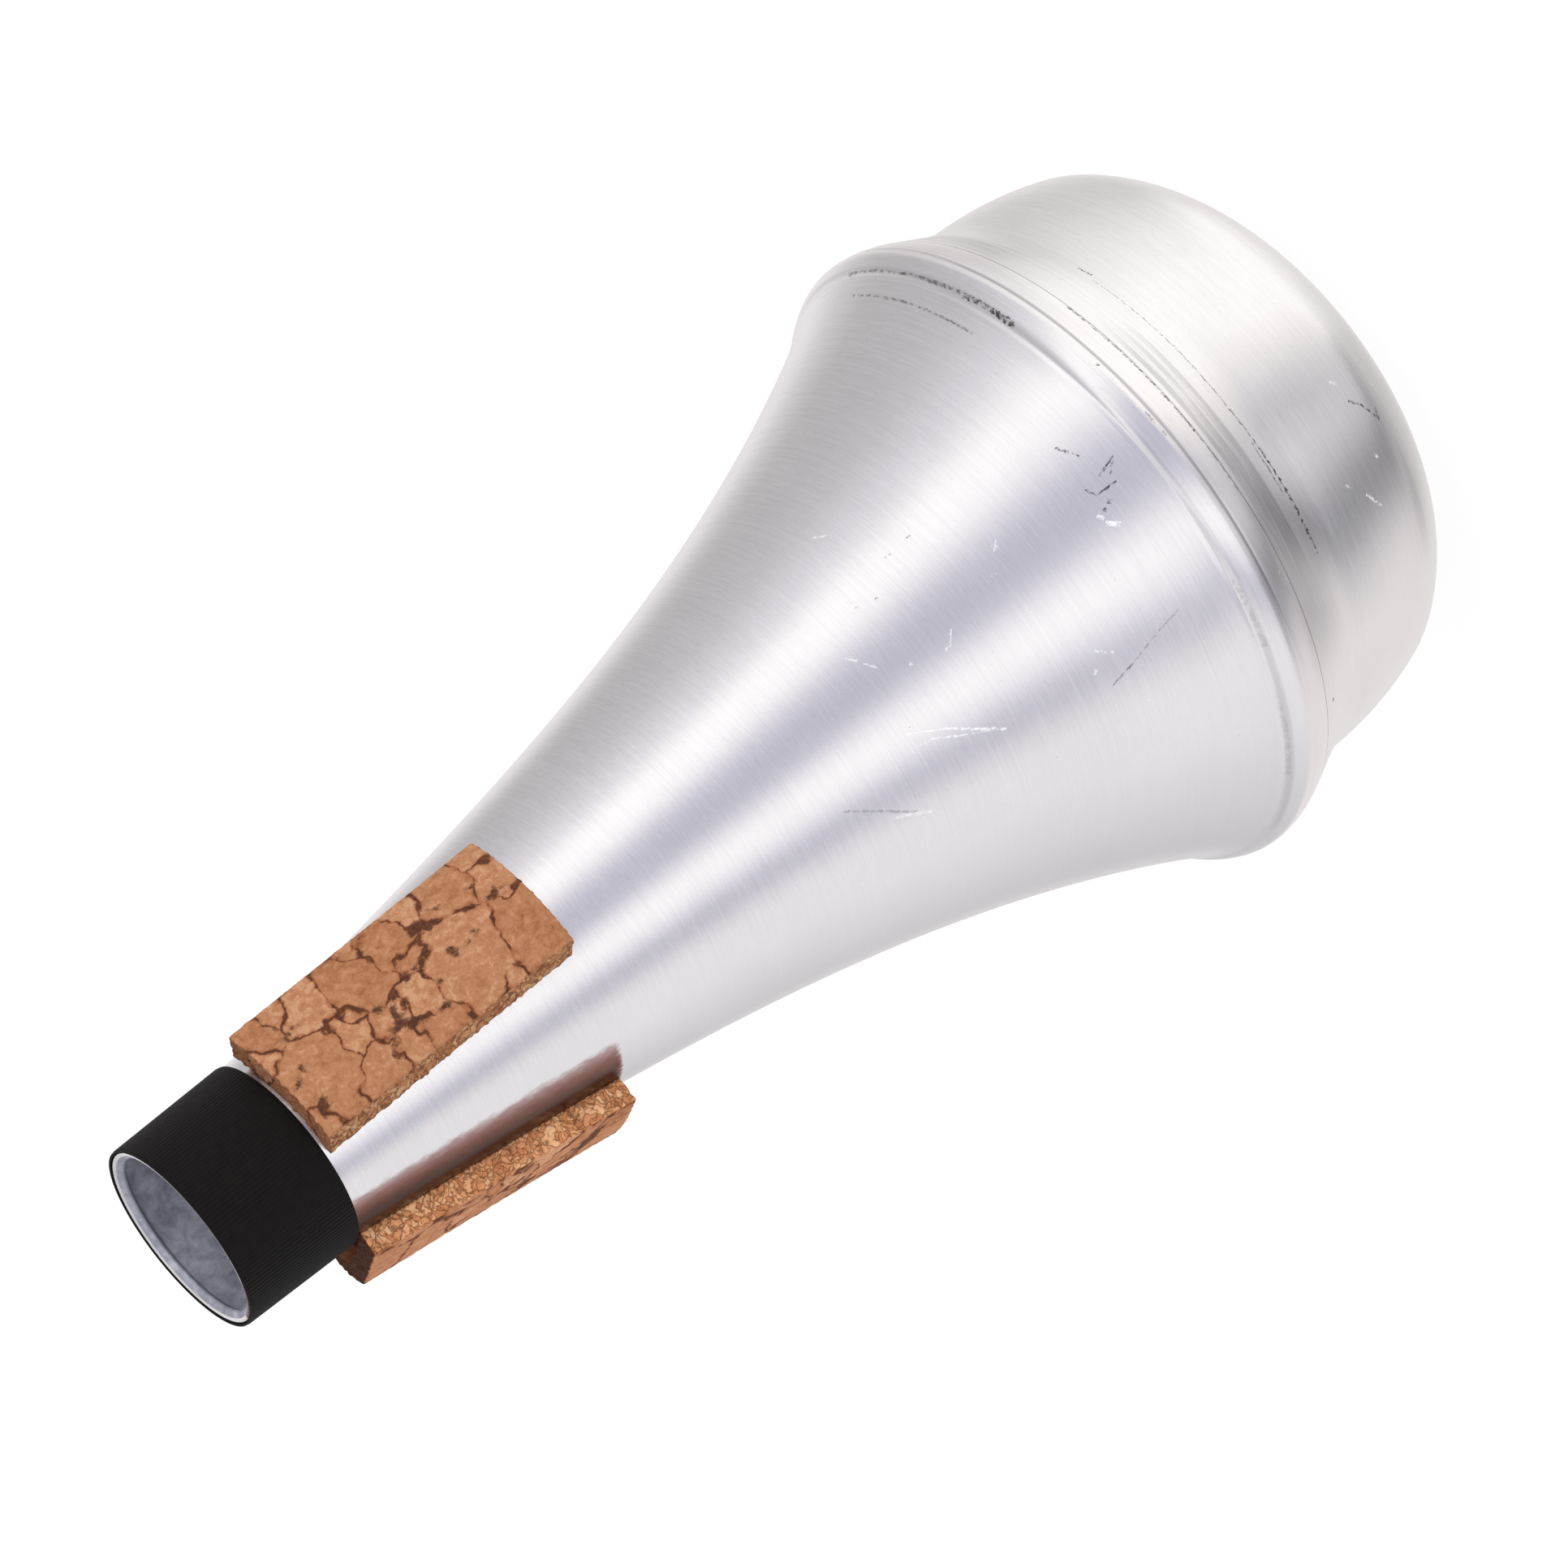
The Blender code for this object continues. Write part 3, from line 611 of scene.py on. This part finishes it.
def corner_lift(across, share):
    """Stand-off of the upper strip, whose edge on the +x side rises towards the near end.

    It is the square of the way out to that edge times a power of the way left to the
    far end. The second value is the stand-off at which the width is measured.
    """
    edge = np.maximum(across, 0.0) / (CORK_WIDTH / 2.0)
    raised = CORK_LIFT * edge ** 2 * np.maximum(1.0 - share, 0.0) ** 1.3
    return raised, raised


def fold_lift(across, share):
    """Stand-off of the lower strip, which rises by a power from both long edges to a fold."""
    place = FOLD_NEAR_PLACE + (FOLD_FAR_PLACE - FOLD_NEAR_PLACE) * share
    rise = FOLD_NEAR_RISE + (FOLD_FAR_RISE - FOLD_NEAR_RISE) * share
    reached = np.maximum(CORK_WIDTH / 2.0 - across, 0.0)
    climb = np.minimum(reached / place, 1.0) ** FOLD_POWER
    fall = (np.maximum(reached - place, 0.0) / (CORK_WIDTH - place)) ** FOLD_POWER
    return rise * (climb - fall), rise


def no_lift(across, share):
    """The hidden strip lies flat on the metal."""
    return np.zeros_like(across), 0.0


# Turn and skew in degrees, stand-off, and the seed of the random draws
CORK_STRIPS = {
    "cork_strip_upper": (25.4, -5.2, corner_lift, 11),
    "cork_strip_lower": (-106.75, 10.5, fold_lift, 23),
    "cork_strip_hidden": (160.0, 0.0, no_lift, 37),
}


def box_skin(across, along, up):
    """Lattice points on the skin of a box, and the quads between them.

    Each of the six sides is a grid of two of the three indices. Equal points are joined
    by their index, and each quad is wound to look out of the box.
    """
    quads = []
    size = (across, along, up)
    for axis in range(3):
        one, two = (axis + 1) % 3, (axis + 2) % 3
        i, j = np.meshgrid(np.arange(size[one]), np.arange(size[two]), indexing="ij")
        for side in (0, size[axis]):
            order = [(0, 0), (1, 0), (1, 1), (0, 1)]
            if side == 0:
                order = order[::-1]
            corners = np.zeros(i.shape + (4, 3), int)
            for k, (di, dj) in enumerate(order):
                corners[..., k, axis] = side
                corners[..., k, one] = i + di
                corners[..., k, two] = j + dj
            quads.append(corners.reshape(-1, 4, 3))
    quads = np.concatenate(quads)
    code = (quads[..., 0] * (along + 1) + quads[..., 1]) * (up + 1) + quads[..., 2]
    found, joined = np.unique(code.reshape(-1), return_inverse=True)
    lattice = np.stack([found // ((along + 1) * (up + 1)), found // (up + 1) % (along + 1),
                        found % (up + 1)], axis=1)
    return lattice / np.array(size, float), joined.reshape(-1, 4)


def crumble(points, size, random, waves=40):
    """Smooth noise of about -1 to 1: plane waves of about one size, in random directions."""
    ways = random.normal(size=(waves, 3))
    ways *= (random.uniform(0.6, 1.5, waves) / np.linalg.norm(ways, axis=1))[:, None]
    turn = random.uniform(0.0, 2.0 * np.pi, waves)
    return np.sin(points @ ways.T * (2.0 * np.pi / size) + turn).sum(axis=1) / np.sqrt(waves)


def scattered(count, smallest, largest, random):
    """Random spots over a strip, as (down, across, size) in millimetres."""
    half = 500.0 * CORK_WIDTH
    return random.uniform([0.0, -half, smallest], [1000.0 * CORK_LENGTH, half, largest],
                          (count, 3)).tolist()


# Painted light: the lightness of each strip's outer face and cut sides, set by how light falls
# on it, and the painted shade of the end near the sleeve
CORK_PAINTED_LIGHT = {"cork_strip_upper": (0.98, 0.72, shade(205, 200, 196)),
              "cork_strip_lower": (1.34, 1.0, shade(112, 98, 94)),
              "cork_strip_hidden": (1.0, 0.8, shade(205, 200, 196))}


def cork_material(name, flakes, pits, painted_face_light, painted_side_light, painted_near_end_shade):
    """Flakes and pits are found by their distance to a point less its size.

    The crack between two flakes is where the second smallest of these distances is
    hardly more than the smallest.
    """
    material, tree, shader = new_material(name)
    place = add(tree, "ShaderNodeAttribute", attribute_name="block").outputs["Vector"]
    bent = add(tree, "ShaderNodeAttribute", attribute_name="bent_block").outputs["Vector"]
    side = add(tree, "ShaderNodeAttribute", attribute_name="cut_side").outputs["Fac"]
    tone = add(tree, "ShaderNodeAttribute", attribute_name="flake").outputs["Fac"]

    def away(spot):
        """Distance to a spot's edge, in millimetres."""
        down, across, size = spot
        gap = add(tree, "ShaderNodeVectorMath", {0: bent, 1: (down, across, FLAKE_LEVEL)},
                  operation="DISTANCE").outputs["Value"]
        return sum_of(tree, "SUBTRACT", gap, size)

    # The nearest and the second nearest flake, and the nearest pit
    first = away(flakes[0])
    second = sum_of(tree, "ADD", first, 50.0)
    for flake in flakes[1:]:
        found = away(flake)
        second = sum_of(tree, "MINIMUM", second, sum_of(tree, "MAXIMUM", first, found))
        first = sum_of(tree, "MINIMUM", first, found)
    deepest = away(pits[0])
    for pit in pits[1:]:
        deepest = sum_of(tree, "MINIMUM", deepest, away(pit))

    # Cracks with brown edges, holes and stray chaff
    grain = noise(tree, place, 2.8, 6.0, 0.75, 0.2)
    mottle = noise(tree, place, 0.9, 4.0, 0.6, 0.5)
    shred = noise(tree, place, 1.5, 6.0, 0.8, 1.5)
    worn = noise(tree, place, 0.4, 3.0)
    crack = sum_of(tree, "MULTIPLY_ADD", shred, -1.3, sum_of(tree, "SUBTRACT", second, first))
    crack = sum_of(tree, "MULTIPLY_ADD", worn, -2.4, crack)
    crack = sum_of(tree, "MULTIPLY_ADD", grain, -0.5, crack)
    gap = step(tree, crack, -1.78, -2.06)
    brown = step(tree, crack, -1.25, -2.0)
    hole = step(tree, sum_of(tree, "MULTIPLY_ADD", shred, 2.0, deepest), 1.25, 0.70)
    stray = step(tree, noise(tree, place, 1.2, 5.0, 0.8, 2.0), 0.60, 0.72)

    # Outer face
    look = sum_of(tree, "MULTIPLY_ADD", tone, 0.24, sum_of(tree, "MULTIPLY", mottle, 0.9))
    look = sum_of(tree, "MULTIPLY_ADD", grain, 0.62, look)
    face = ramp(tree, look, [(0.55, shade(148, 90, 56)), (0.76, shade(175, 118, 79)),
                             (0.92, shade(188, 132, 93)), (1.08, shade(196, 142, 102)),
                             (1.24, shade(203, 153, 114))])
    face = blended(tree, sum_of(tree, "MULTIPLY", brown, 0.75), face, shade(148, 84, 48))
    face = blended(tree, sum_of(tree, "MULTIPLY", stray, 0.5), face, shade(132, 78, 48))
    dark = sum_of(tree, "MAXIMUM", gap, hole)
    deep = ramp(tree, shred, [(0.42, shade(54, 32, 26)), (0.62, shade(112, 62, 36))])
    face = blended(tree, sum_of(tree, "MULTIPLY", dark, 0.92), face, deep)
    # Painted light: each strip's face is made lighter or darker by how light falls on it
    face = blended(tree, 1.0, face, (painted_face_light, painted_face_light, painted_face_light * 1.02, 1.0), "MULTIPLY")

    # Cut sides, of small crumbs; the end near the sleeve takes the face's colour under a
    # painted shade
    shake = add(tree, "ShaderNodeTexNoise", {"Vector": place, "Scale": 1.4, "Detail": 3.0})
    shaken = add(tree, "ShaderNodeVectorMath", {0: bent, 1: shake.outputs["Color"]},
                 operation="ADD").outputs[0]
    crumb = add(tree, "ShaderNodeTexVoronoi", {"Vector": shaken, "Scale": 1.2}, feature="F1")
    seams = add(tree, "ShaderNodeTexVoronoi", {"Vector": shaken, "Scale": 1.2},
                feature="DISTANCE_TO_EDGE").outputs["Distance"]
    kind = add(tree, "ShaderNodeSeparateXYZ", {0: crumb.outputs["Color"]}).outputs[0]
    chaff = sum_of(tree, "MULTIPLY_ADD", kind, 0.45, sum_of(tree, "MULTIPLY", shred, 1.1))
    cut = ramp(tree, chaff, [(0.42, shade(186, 114, 68)), (0.68, shade(220, 150, 100)),
                             (0.90, shade(240, 174, 122)), (1.12, shade(250, 198, 148))])
    between = step(tree, sum_of(tree, "MULTIPLY_ADD", shred, -0.60, seams), -0.17, -0.33)
    cut = blended(tree, sum_of(tree, "MULTIPLY", between, 0.8), cut, shade(122, 66, 34))
    # Painted light: each strip's cut sides are made lighter or darker by how light falls on
    # them
    cut = blended(tree, 1.0, cut, (painted_side_light, painted_side_light, painted_side_light, 1.0),
                  "MULTIPLY")
    near_end = step(tree, add(tree, "ShaderNodeSeparateXYZ", {0: place}).outputs[0], 0.3, 0.1)
    cut = blended(tree, near_end, cut, blended(tree, 1.0, face, painted_near_end_shade, "MULTIPLY"))
    tree.links.new(blended(tree, side, face, cut), shader.inputs["Base Color"])

    # Gloss and relief
    shader.inputs["Roughness"].default_value = 0.8
    shader.inputs["Specular IOR Level"].default_value = 0.25
    relief = sum_of(tree, "MULTIPLY_ADD", dark, -1.2, sum_of(tree, "MULTIPLY", grain, 0.7))
    relief = sum_of(tree, "MULTIPLY_ADD", sum_of(tree, "MULTIPLY", side, between), -1.5, relief)
    bump = add(tree, "ShaderNodeBump",
               {"Strength": 0.6, "Distance": 0.00012, "Height": relief})
    tree.links.new(bump.outputs[0], shader.inputs["Normal"])
    return material


for name, (turn, skew, lift, seed) in CORK_STRIPS.items():
    # A straight block with rounded edges
    random = np.random.default_rng(seed)
    share, faces = box_skin(*CORK_GRID)
    half = np.array([CORK_WIDTH / 2.0, CORK_LENGTH / 2.0, CORK_HEIGHT])
    block = (share - [0.5, 0.5, 0.0]) * [CORK_WIDTH, CORK_LENGTH, CORK_HEIGHT]
    over = np.maximum(np.abs(block) - (half - CORK_ROUNDING), 0.0)
    reach = np.linalg.norm(over, axis=1)[:, None]
    kept = np.sign(block) * np.minimum(np.abs(block), half - CORK_ROUNDING)
    rounding = np.minimum(1.0, CORK_ROUNDING / np.maximum(reach, 1e-9))
    rounded = kept + np.sign(block) * over * rounding
    # 1 on the cut sides and 0 on the outer face, for the material
    cut = np.clip((np.abs(share[:, :2] - 0.5).max(axis=1) - 0.497) / 0.003, 0.0, 1.0)
    cut *= share[:, 2] < 0.999
    # Places in the block in millimetres, straight and wavy, and the tone of each flake
    flat = 1000.0 * np.stack([rounded[:, 1] + CORK_LENGTH / 2.0, rounded[:, 0], rounded[:, 2]],
                             axis=1)
    bent = flat.copy()
    for far, sizes in ((0.35, (3.0, 3.0, 3.5)), (0.12, (1.1, 1.1, 1.3))):
        bent += far * np.stack([crumble(flat, size, random) for size in sizes], axis=1)
    if name == "cork_strip_upper":
        flakes, pits = UPPER_FLAKES, UPPER_PITS
    else:
        flakes = scattered(FLAKE_COUNT, SMALLEST_FLAKE, LARGEST_FLAKE, random)
        pits = scattered(PIT_COUNT, SMALLEST_PIT, LARGEST_PIT, random)
    spots = np.array(flakes)
    centres = np.insert(spots[:, :2], 2, FLAKE_LEVEL, axis=1)
    apart = np.linalg.norm(bent[:, None, :] - centres, axis=2)
    tones = random.uniform(0.0, 1.0, len(flakes))[np.argmin(apart - spots[:, 2], axis=1)]
    # Rough outer face and crumbly sides
    on_face = share[:, 2] >= 0.999
    rounded[:, 2] += FACE_RELIEF * crumble(rounded, FACE_CRUMB, random) * on_face
    on_side = np.abs(share[:, :2] - 0.5) > 0.499
    crumbs = SIDE_RELIEF * crumble(rounded, SIDE_CRUMB, random) - SIDE_LOSS
    rounded[:, :2] += np.sign(rounded[:, :2]) * on_side * crumbs[:, None]
    # Bent round the flare
    down = rounded[:, 1] + CORK_LENGTH / 2.0
    widening = float(metal_radius(cork_top - CORK_LENGTH) - metal_radius(cork_top))
    height = cork_top - down * np.cos(np.arctan2(widening, CORK_LENGTH))
    raised, bent_at = lift(rounded[:, 0], down / CORK_LENGTH)
    seat = metal_radius(height) + rounded[:, 2]
    angle = np.radians(turn) + np.radians(skew) * (down / CORK_LENGTH - 0.5)
    angle = angle + rounded[:, 0] / (seat + bent_at)
    radius = seat + raised
    points = np.stack([radius * np.sin(angle), -radius * np.cos(angle), height], axis=1)
    mesh = bpy.data.meshes.new(name)
    mesh.from_pydata(points.tolist(), [], faces[:, ::-1].tolist())
    for label, values in (("flake", tones), ("cut_side", cut)):
        mesh.attributes.new(label, "FLOAT", "POINT").data.foreach_set("value", values)
    for label, values in (("block", flat), ("bent_block", bent)):
        layer = mesh.attributes.new(label, "FLOAT_VECTOR", "POINT")
        layer.data.foreach_set("vector", values.reshape(-1))
    mesh.shade_smooth()
    strip = bpy.data.objects.new(name.replace("strip", "block"), mesh)
    bpy.context.scene.collection.objects.link(strip)
    mesh.materials.append(cork_material(name.replace("strip", "flakes"), flakes, pits,
                                        *CORK_PAINTED_LIGHT[name]))
    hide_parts(name)
    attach(strip, "root")


# Floor
# A plain white sweep under the mute. It keeps a soft shadow, and mirror rays pass it and
# find the light tent round the object.
FLOOR_SIZE = 8.0
GLOW_LEVEL = 1.08
GLOW_SHARE = 0.84

mesh = bpy.data.meshes.new("floor")
mesh.from_pydata([(x * FLOOR_SIZE / 2.0, y * FLOOR_SIZE / 2.0, 0.0)
                  for x, y in ((-1, -1), (1, -1), (1, 1), (-1, 1))], [], [(0, 1, 2, 3)])
ground = bpy.data.objects.new("floor", mesh)
bpy.context.scene.collection.objects.link(ground)
white, tree, shader = new_material("white_floor")
tree.nodes.remove(shader)
output = tree.nodes["Material Output"]
matt = add(tree, "ShaderNodeBsdfDiffuse", {"Color": shade(236, 236, 236)})
glow = add(tree, "ShaderNodeEmission", {"Color": (1.0, 1.0, 1.0, 1.0), "Strength": GLOW_LEVEL})
clear = add(tree, "ShaderNodeBsdfTransparent")
path = add(tree, "ShaderNodeLightPath")
seen = add(tree, "ShaderNodeMixShader",
           {0: GLOW_SHARE, 1: matt.outputs[0], 2: glow.outputs[0]})
lit = add(tree, "ShaderNodeMixShader",
          {0: path.outputs["Is Camera Ray"], 1: matt.outputs[0], 2: seen.outputs[0]})
side = add(tree, "ShaderNodeMixShader",
           {0: add(tree, "ShaderNodeNewGeometry").outputs["Backfacing"],
            1: lit.outputs[0], 2: clear.outputs[0]})
tree.links.new(side.outputs[0], output.inputs["Surface"])
mesh.materials.append(white)
ground.visible_glossy = False
ground.visible_shadow = False


# Light tent
# A white tent lights the mute from all sides, with bright windows at the front and greyer
# cloth between them. Each row is (turn, red, green, blue). Above is what the cone mirrors,
# below is what the rim and the cup's wall mirror, under is what the round-over mirrors.
TENT_ABOVE = [(-180, 200, 200, 202), (-150, 190, 190, 192), (-110, 214, 214, 216),
              (-90, 224, 224, 226), (-66, 228, 226, 228), (-58, 214, 214, 219),
              (-50, 186, 186, 197), (-43, 190, 190, 202), (-34, 232, 232, 238),
              (-26, 252, 252, 252), (-18, 252, 252, 252), (-10, 226, 225, 232),
              (-2, 186, 187, 199), (6, 180, 181, 194), (14, 184, 185, 199),
              (22, 206, 206, 216), (30, 242, 241, 244), (38, 255, 255, 255),
              (48, 255, 255, 255), (55, 236, 236, 236), (62, 218, 217, 224),
              (70, 208, 207, 213), (86, 188, 188, 192), (94, 184, 183, 187),
              (110, 178, 177, 179), (126, 178, 177, 178), (142, 204, 202, 202),
              (150, 220, 217, 218), (162, 226, 224, 224), (179, 204, 204, 206)]
TENT_BELOW = [(-180, 222, 218, 218), (-98, 224, 219, 219), (-84, 208, 205, 206),
              (-74, 182, 181, 184), (-66, 150, 150, 155), (-58, 136, 137, 142),
              (-50, 142, 142, 148), (-42, 170, 169, 173), (-34, 196, 195, 198),
              (-26, 206, 206, 208), (-18, 200, 200, 203), (-10, 184, 184, 189),
              (-2, 200, 200, 204), (6, 226, 225, 226), (14, 244, 240, 236),
              (24, 255, 253, 250), (54, 255, 254, 252), (62, 252, 250, 248),
              (78, 240, 238, 237), (94, 225, 223, 223), (110, 212, 209, 209),
              (126, 205, 202, 202), (140, 207, 203, 203), (158, 222, 218, 218),
              (179, 222, 218, 218)]
TENT_UNDER = [(-180, 200, 197, 197), (-146, 200, 197, 197), (-136, 184, 181, 181),
              (-126, 164, 161, 163), (-114, 150, 147, 150), (-104, 184, 180, 182),
              (-92, 184, 180, 182), (-82, 142, 140, 142), (-72, 130, 128, 131),
              (-58, 134, 132, 136), (-46, 186, 184, 188), (-34, 202, 200, 203),
              (-18, 198, 196, 199), (-6, 216, 213, 215), (14, 240, 236, 233),
              (28, 255, 253, 250), (100, 255, 254, 252), (130, 252, 250, 248),
              (150, 236, 233, 232), (179, 216, 213, 213)]
TENT_LEVEL = 1.20
BELOW_START, BELOW_FULL = -0.25, -0.42
UNDER_START, UNDER_FULL = -0.70, -0.88


def tent_ramp(tree, factor, stops):
    """The tent's tone at a share of a turn."""
    return ramp(tree, factor, [((angle + 180.0) / 360.0, shade(*colour))
                               for angle, *colour in stops])


tent = bpy.data.worlds.new("light_tent")
bpy.context.scene.world = tent
tent.use_nodes = True
tree = tent.node_tree
backing = tree.nodes["Background"]
way = add(tree, "ShaderNodeSeparateXYZ",
          {0: add(tree, "ShaderNodeTexCoord").outputs["Generated"]})
turn = sum_of(tree, "ARCTAN2", way.outputs[0], sum_of(tree, "MULTIPLY", way.outputs[1], -1.0))
turn = sum_of(tree, "MULTIPLY_ADD", turn, 0.5 / np.pi, 0.5)
lower = add(tree, "ShaderNodeMapRange", {"Value": way.outputs[2], "From Min": BELOW_START,
                                         "From Max": BELOW_FULL})
cloth = blended(tree, lower.outputs[0], tent_ramp(tree, turn, TENT_ABOVE),
                tent_ramp(tree, turn, TENT_BELOW))
cloth = blended(tree, step(tree, way.outputs[2], UNDER_START, UNDER_FULL), cloth,
                tent_ramp(tree, turn, TENT_UNDER))
path = add(tree, "ShaderNodeLightPath")
light = add(tree, "ShaderNodeVectorMath", {0: cloth, "Scale": TENT_LEVEL}, operation="SCALE")
seen = blended(tree, path.outputs["Is Camera Ray"], light.outputs[0], (1.0, 1.0, 1.0, 1.0))
tree.links.new(seen, backing.inputs["Color"])
backing.inputs["Strength"].default_value = 1.0


# Key light
# One large soft panel on the side of the bright windows. It gives the cork its shading,
# and the metal doesn't mirror it.
panel = bpy.data.lights.new("soft_panel", "AREA")
panel.shape = "DISK"
panel.size = 0.5
panel.energy = 3.0
key = bpy.data.objects.new("soft_panel", panel)
bpy.context.scene.collection.objects.link(key)
key.location = (0.45, -0.65, 0.75)
key.rotation_euler = key.location.to_track_quat("Z", "Y").to_euler()
key.visible_glossy = False


# Camera
# It looks down at the mute from the front, a little above its mouth, and is rolled so
# that the mute lies across the frame.
camera_data = bpy.data.cameras.new("camera")
camera_data.lens = 137.149
camera_data.sensor_width = 36.0
camera_data.clip_start = 0.05
camera = bpy.data.objects.new("camera", camera_data)
bpy.context.scene.collection.objects.link(camera)
right = (-0.61767548, -0.3061309, -0.72440381)
up = (0.78643309, -0.24043946, -0.56895682)
back = (0.0, -0.9211258, 0.38926503)
spot = (-0.00166201766, -0.63073638, 0.34858910)
camera.matrix_world = Matrix([*zip(right, up, back, spot), (0.0, 0.0, 0.0, 1.0)])
bpy.context.scene.camera = camera
bpy.context.scene.view_settings.view_transform = "Standard"
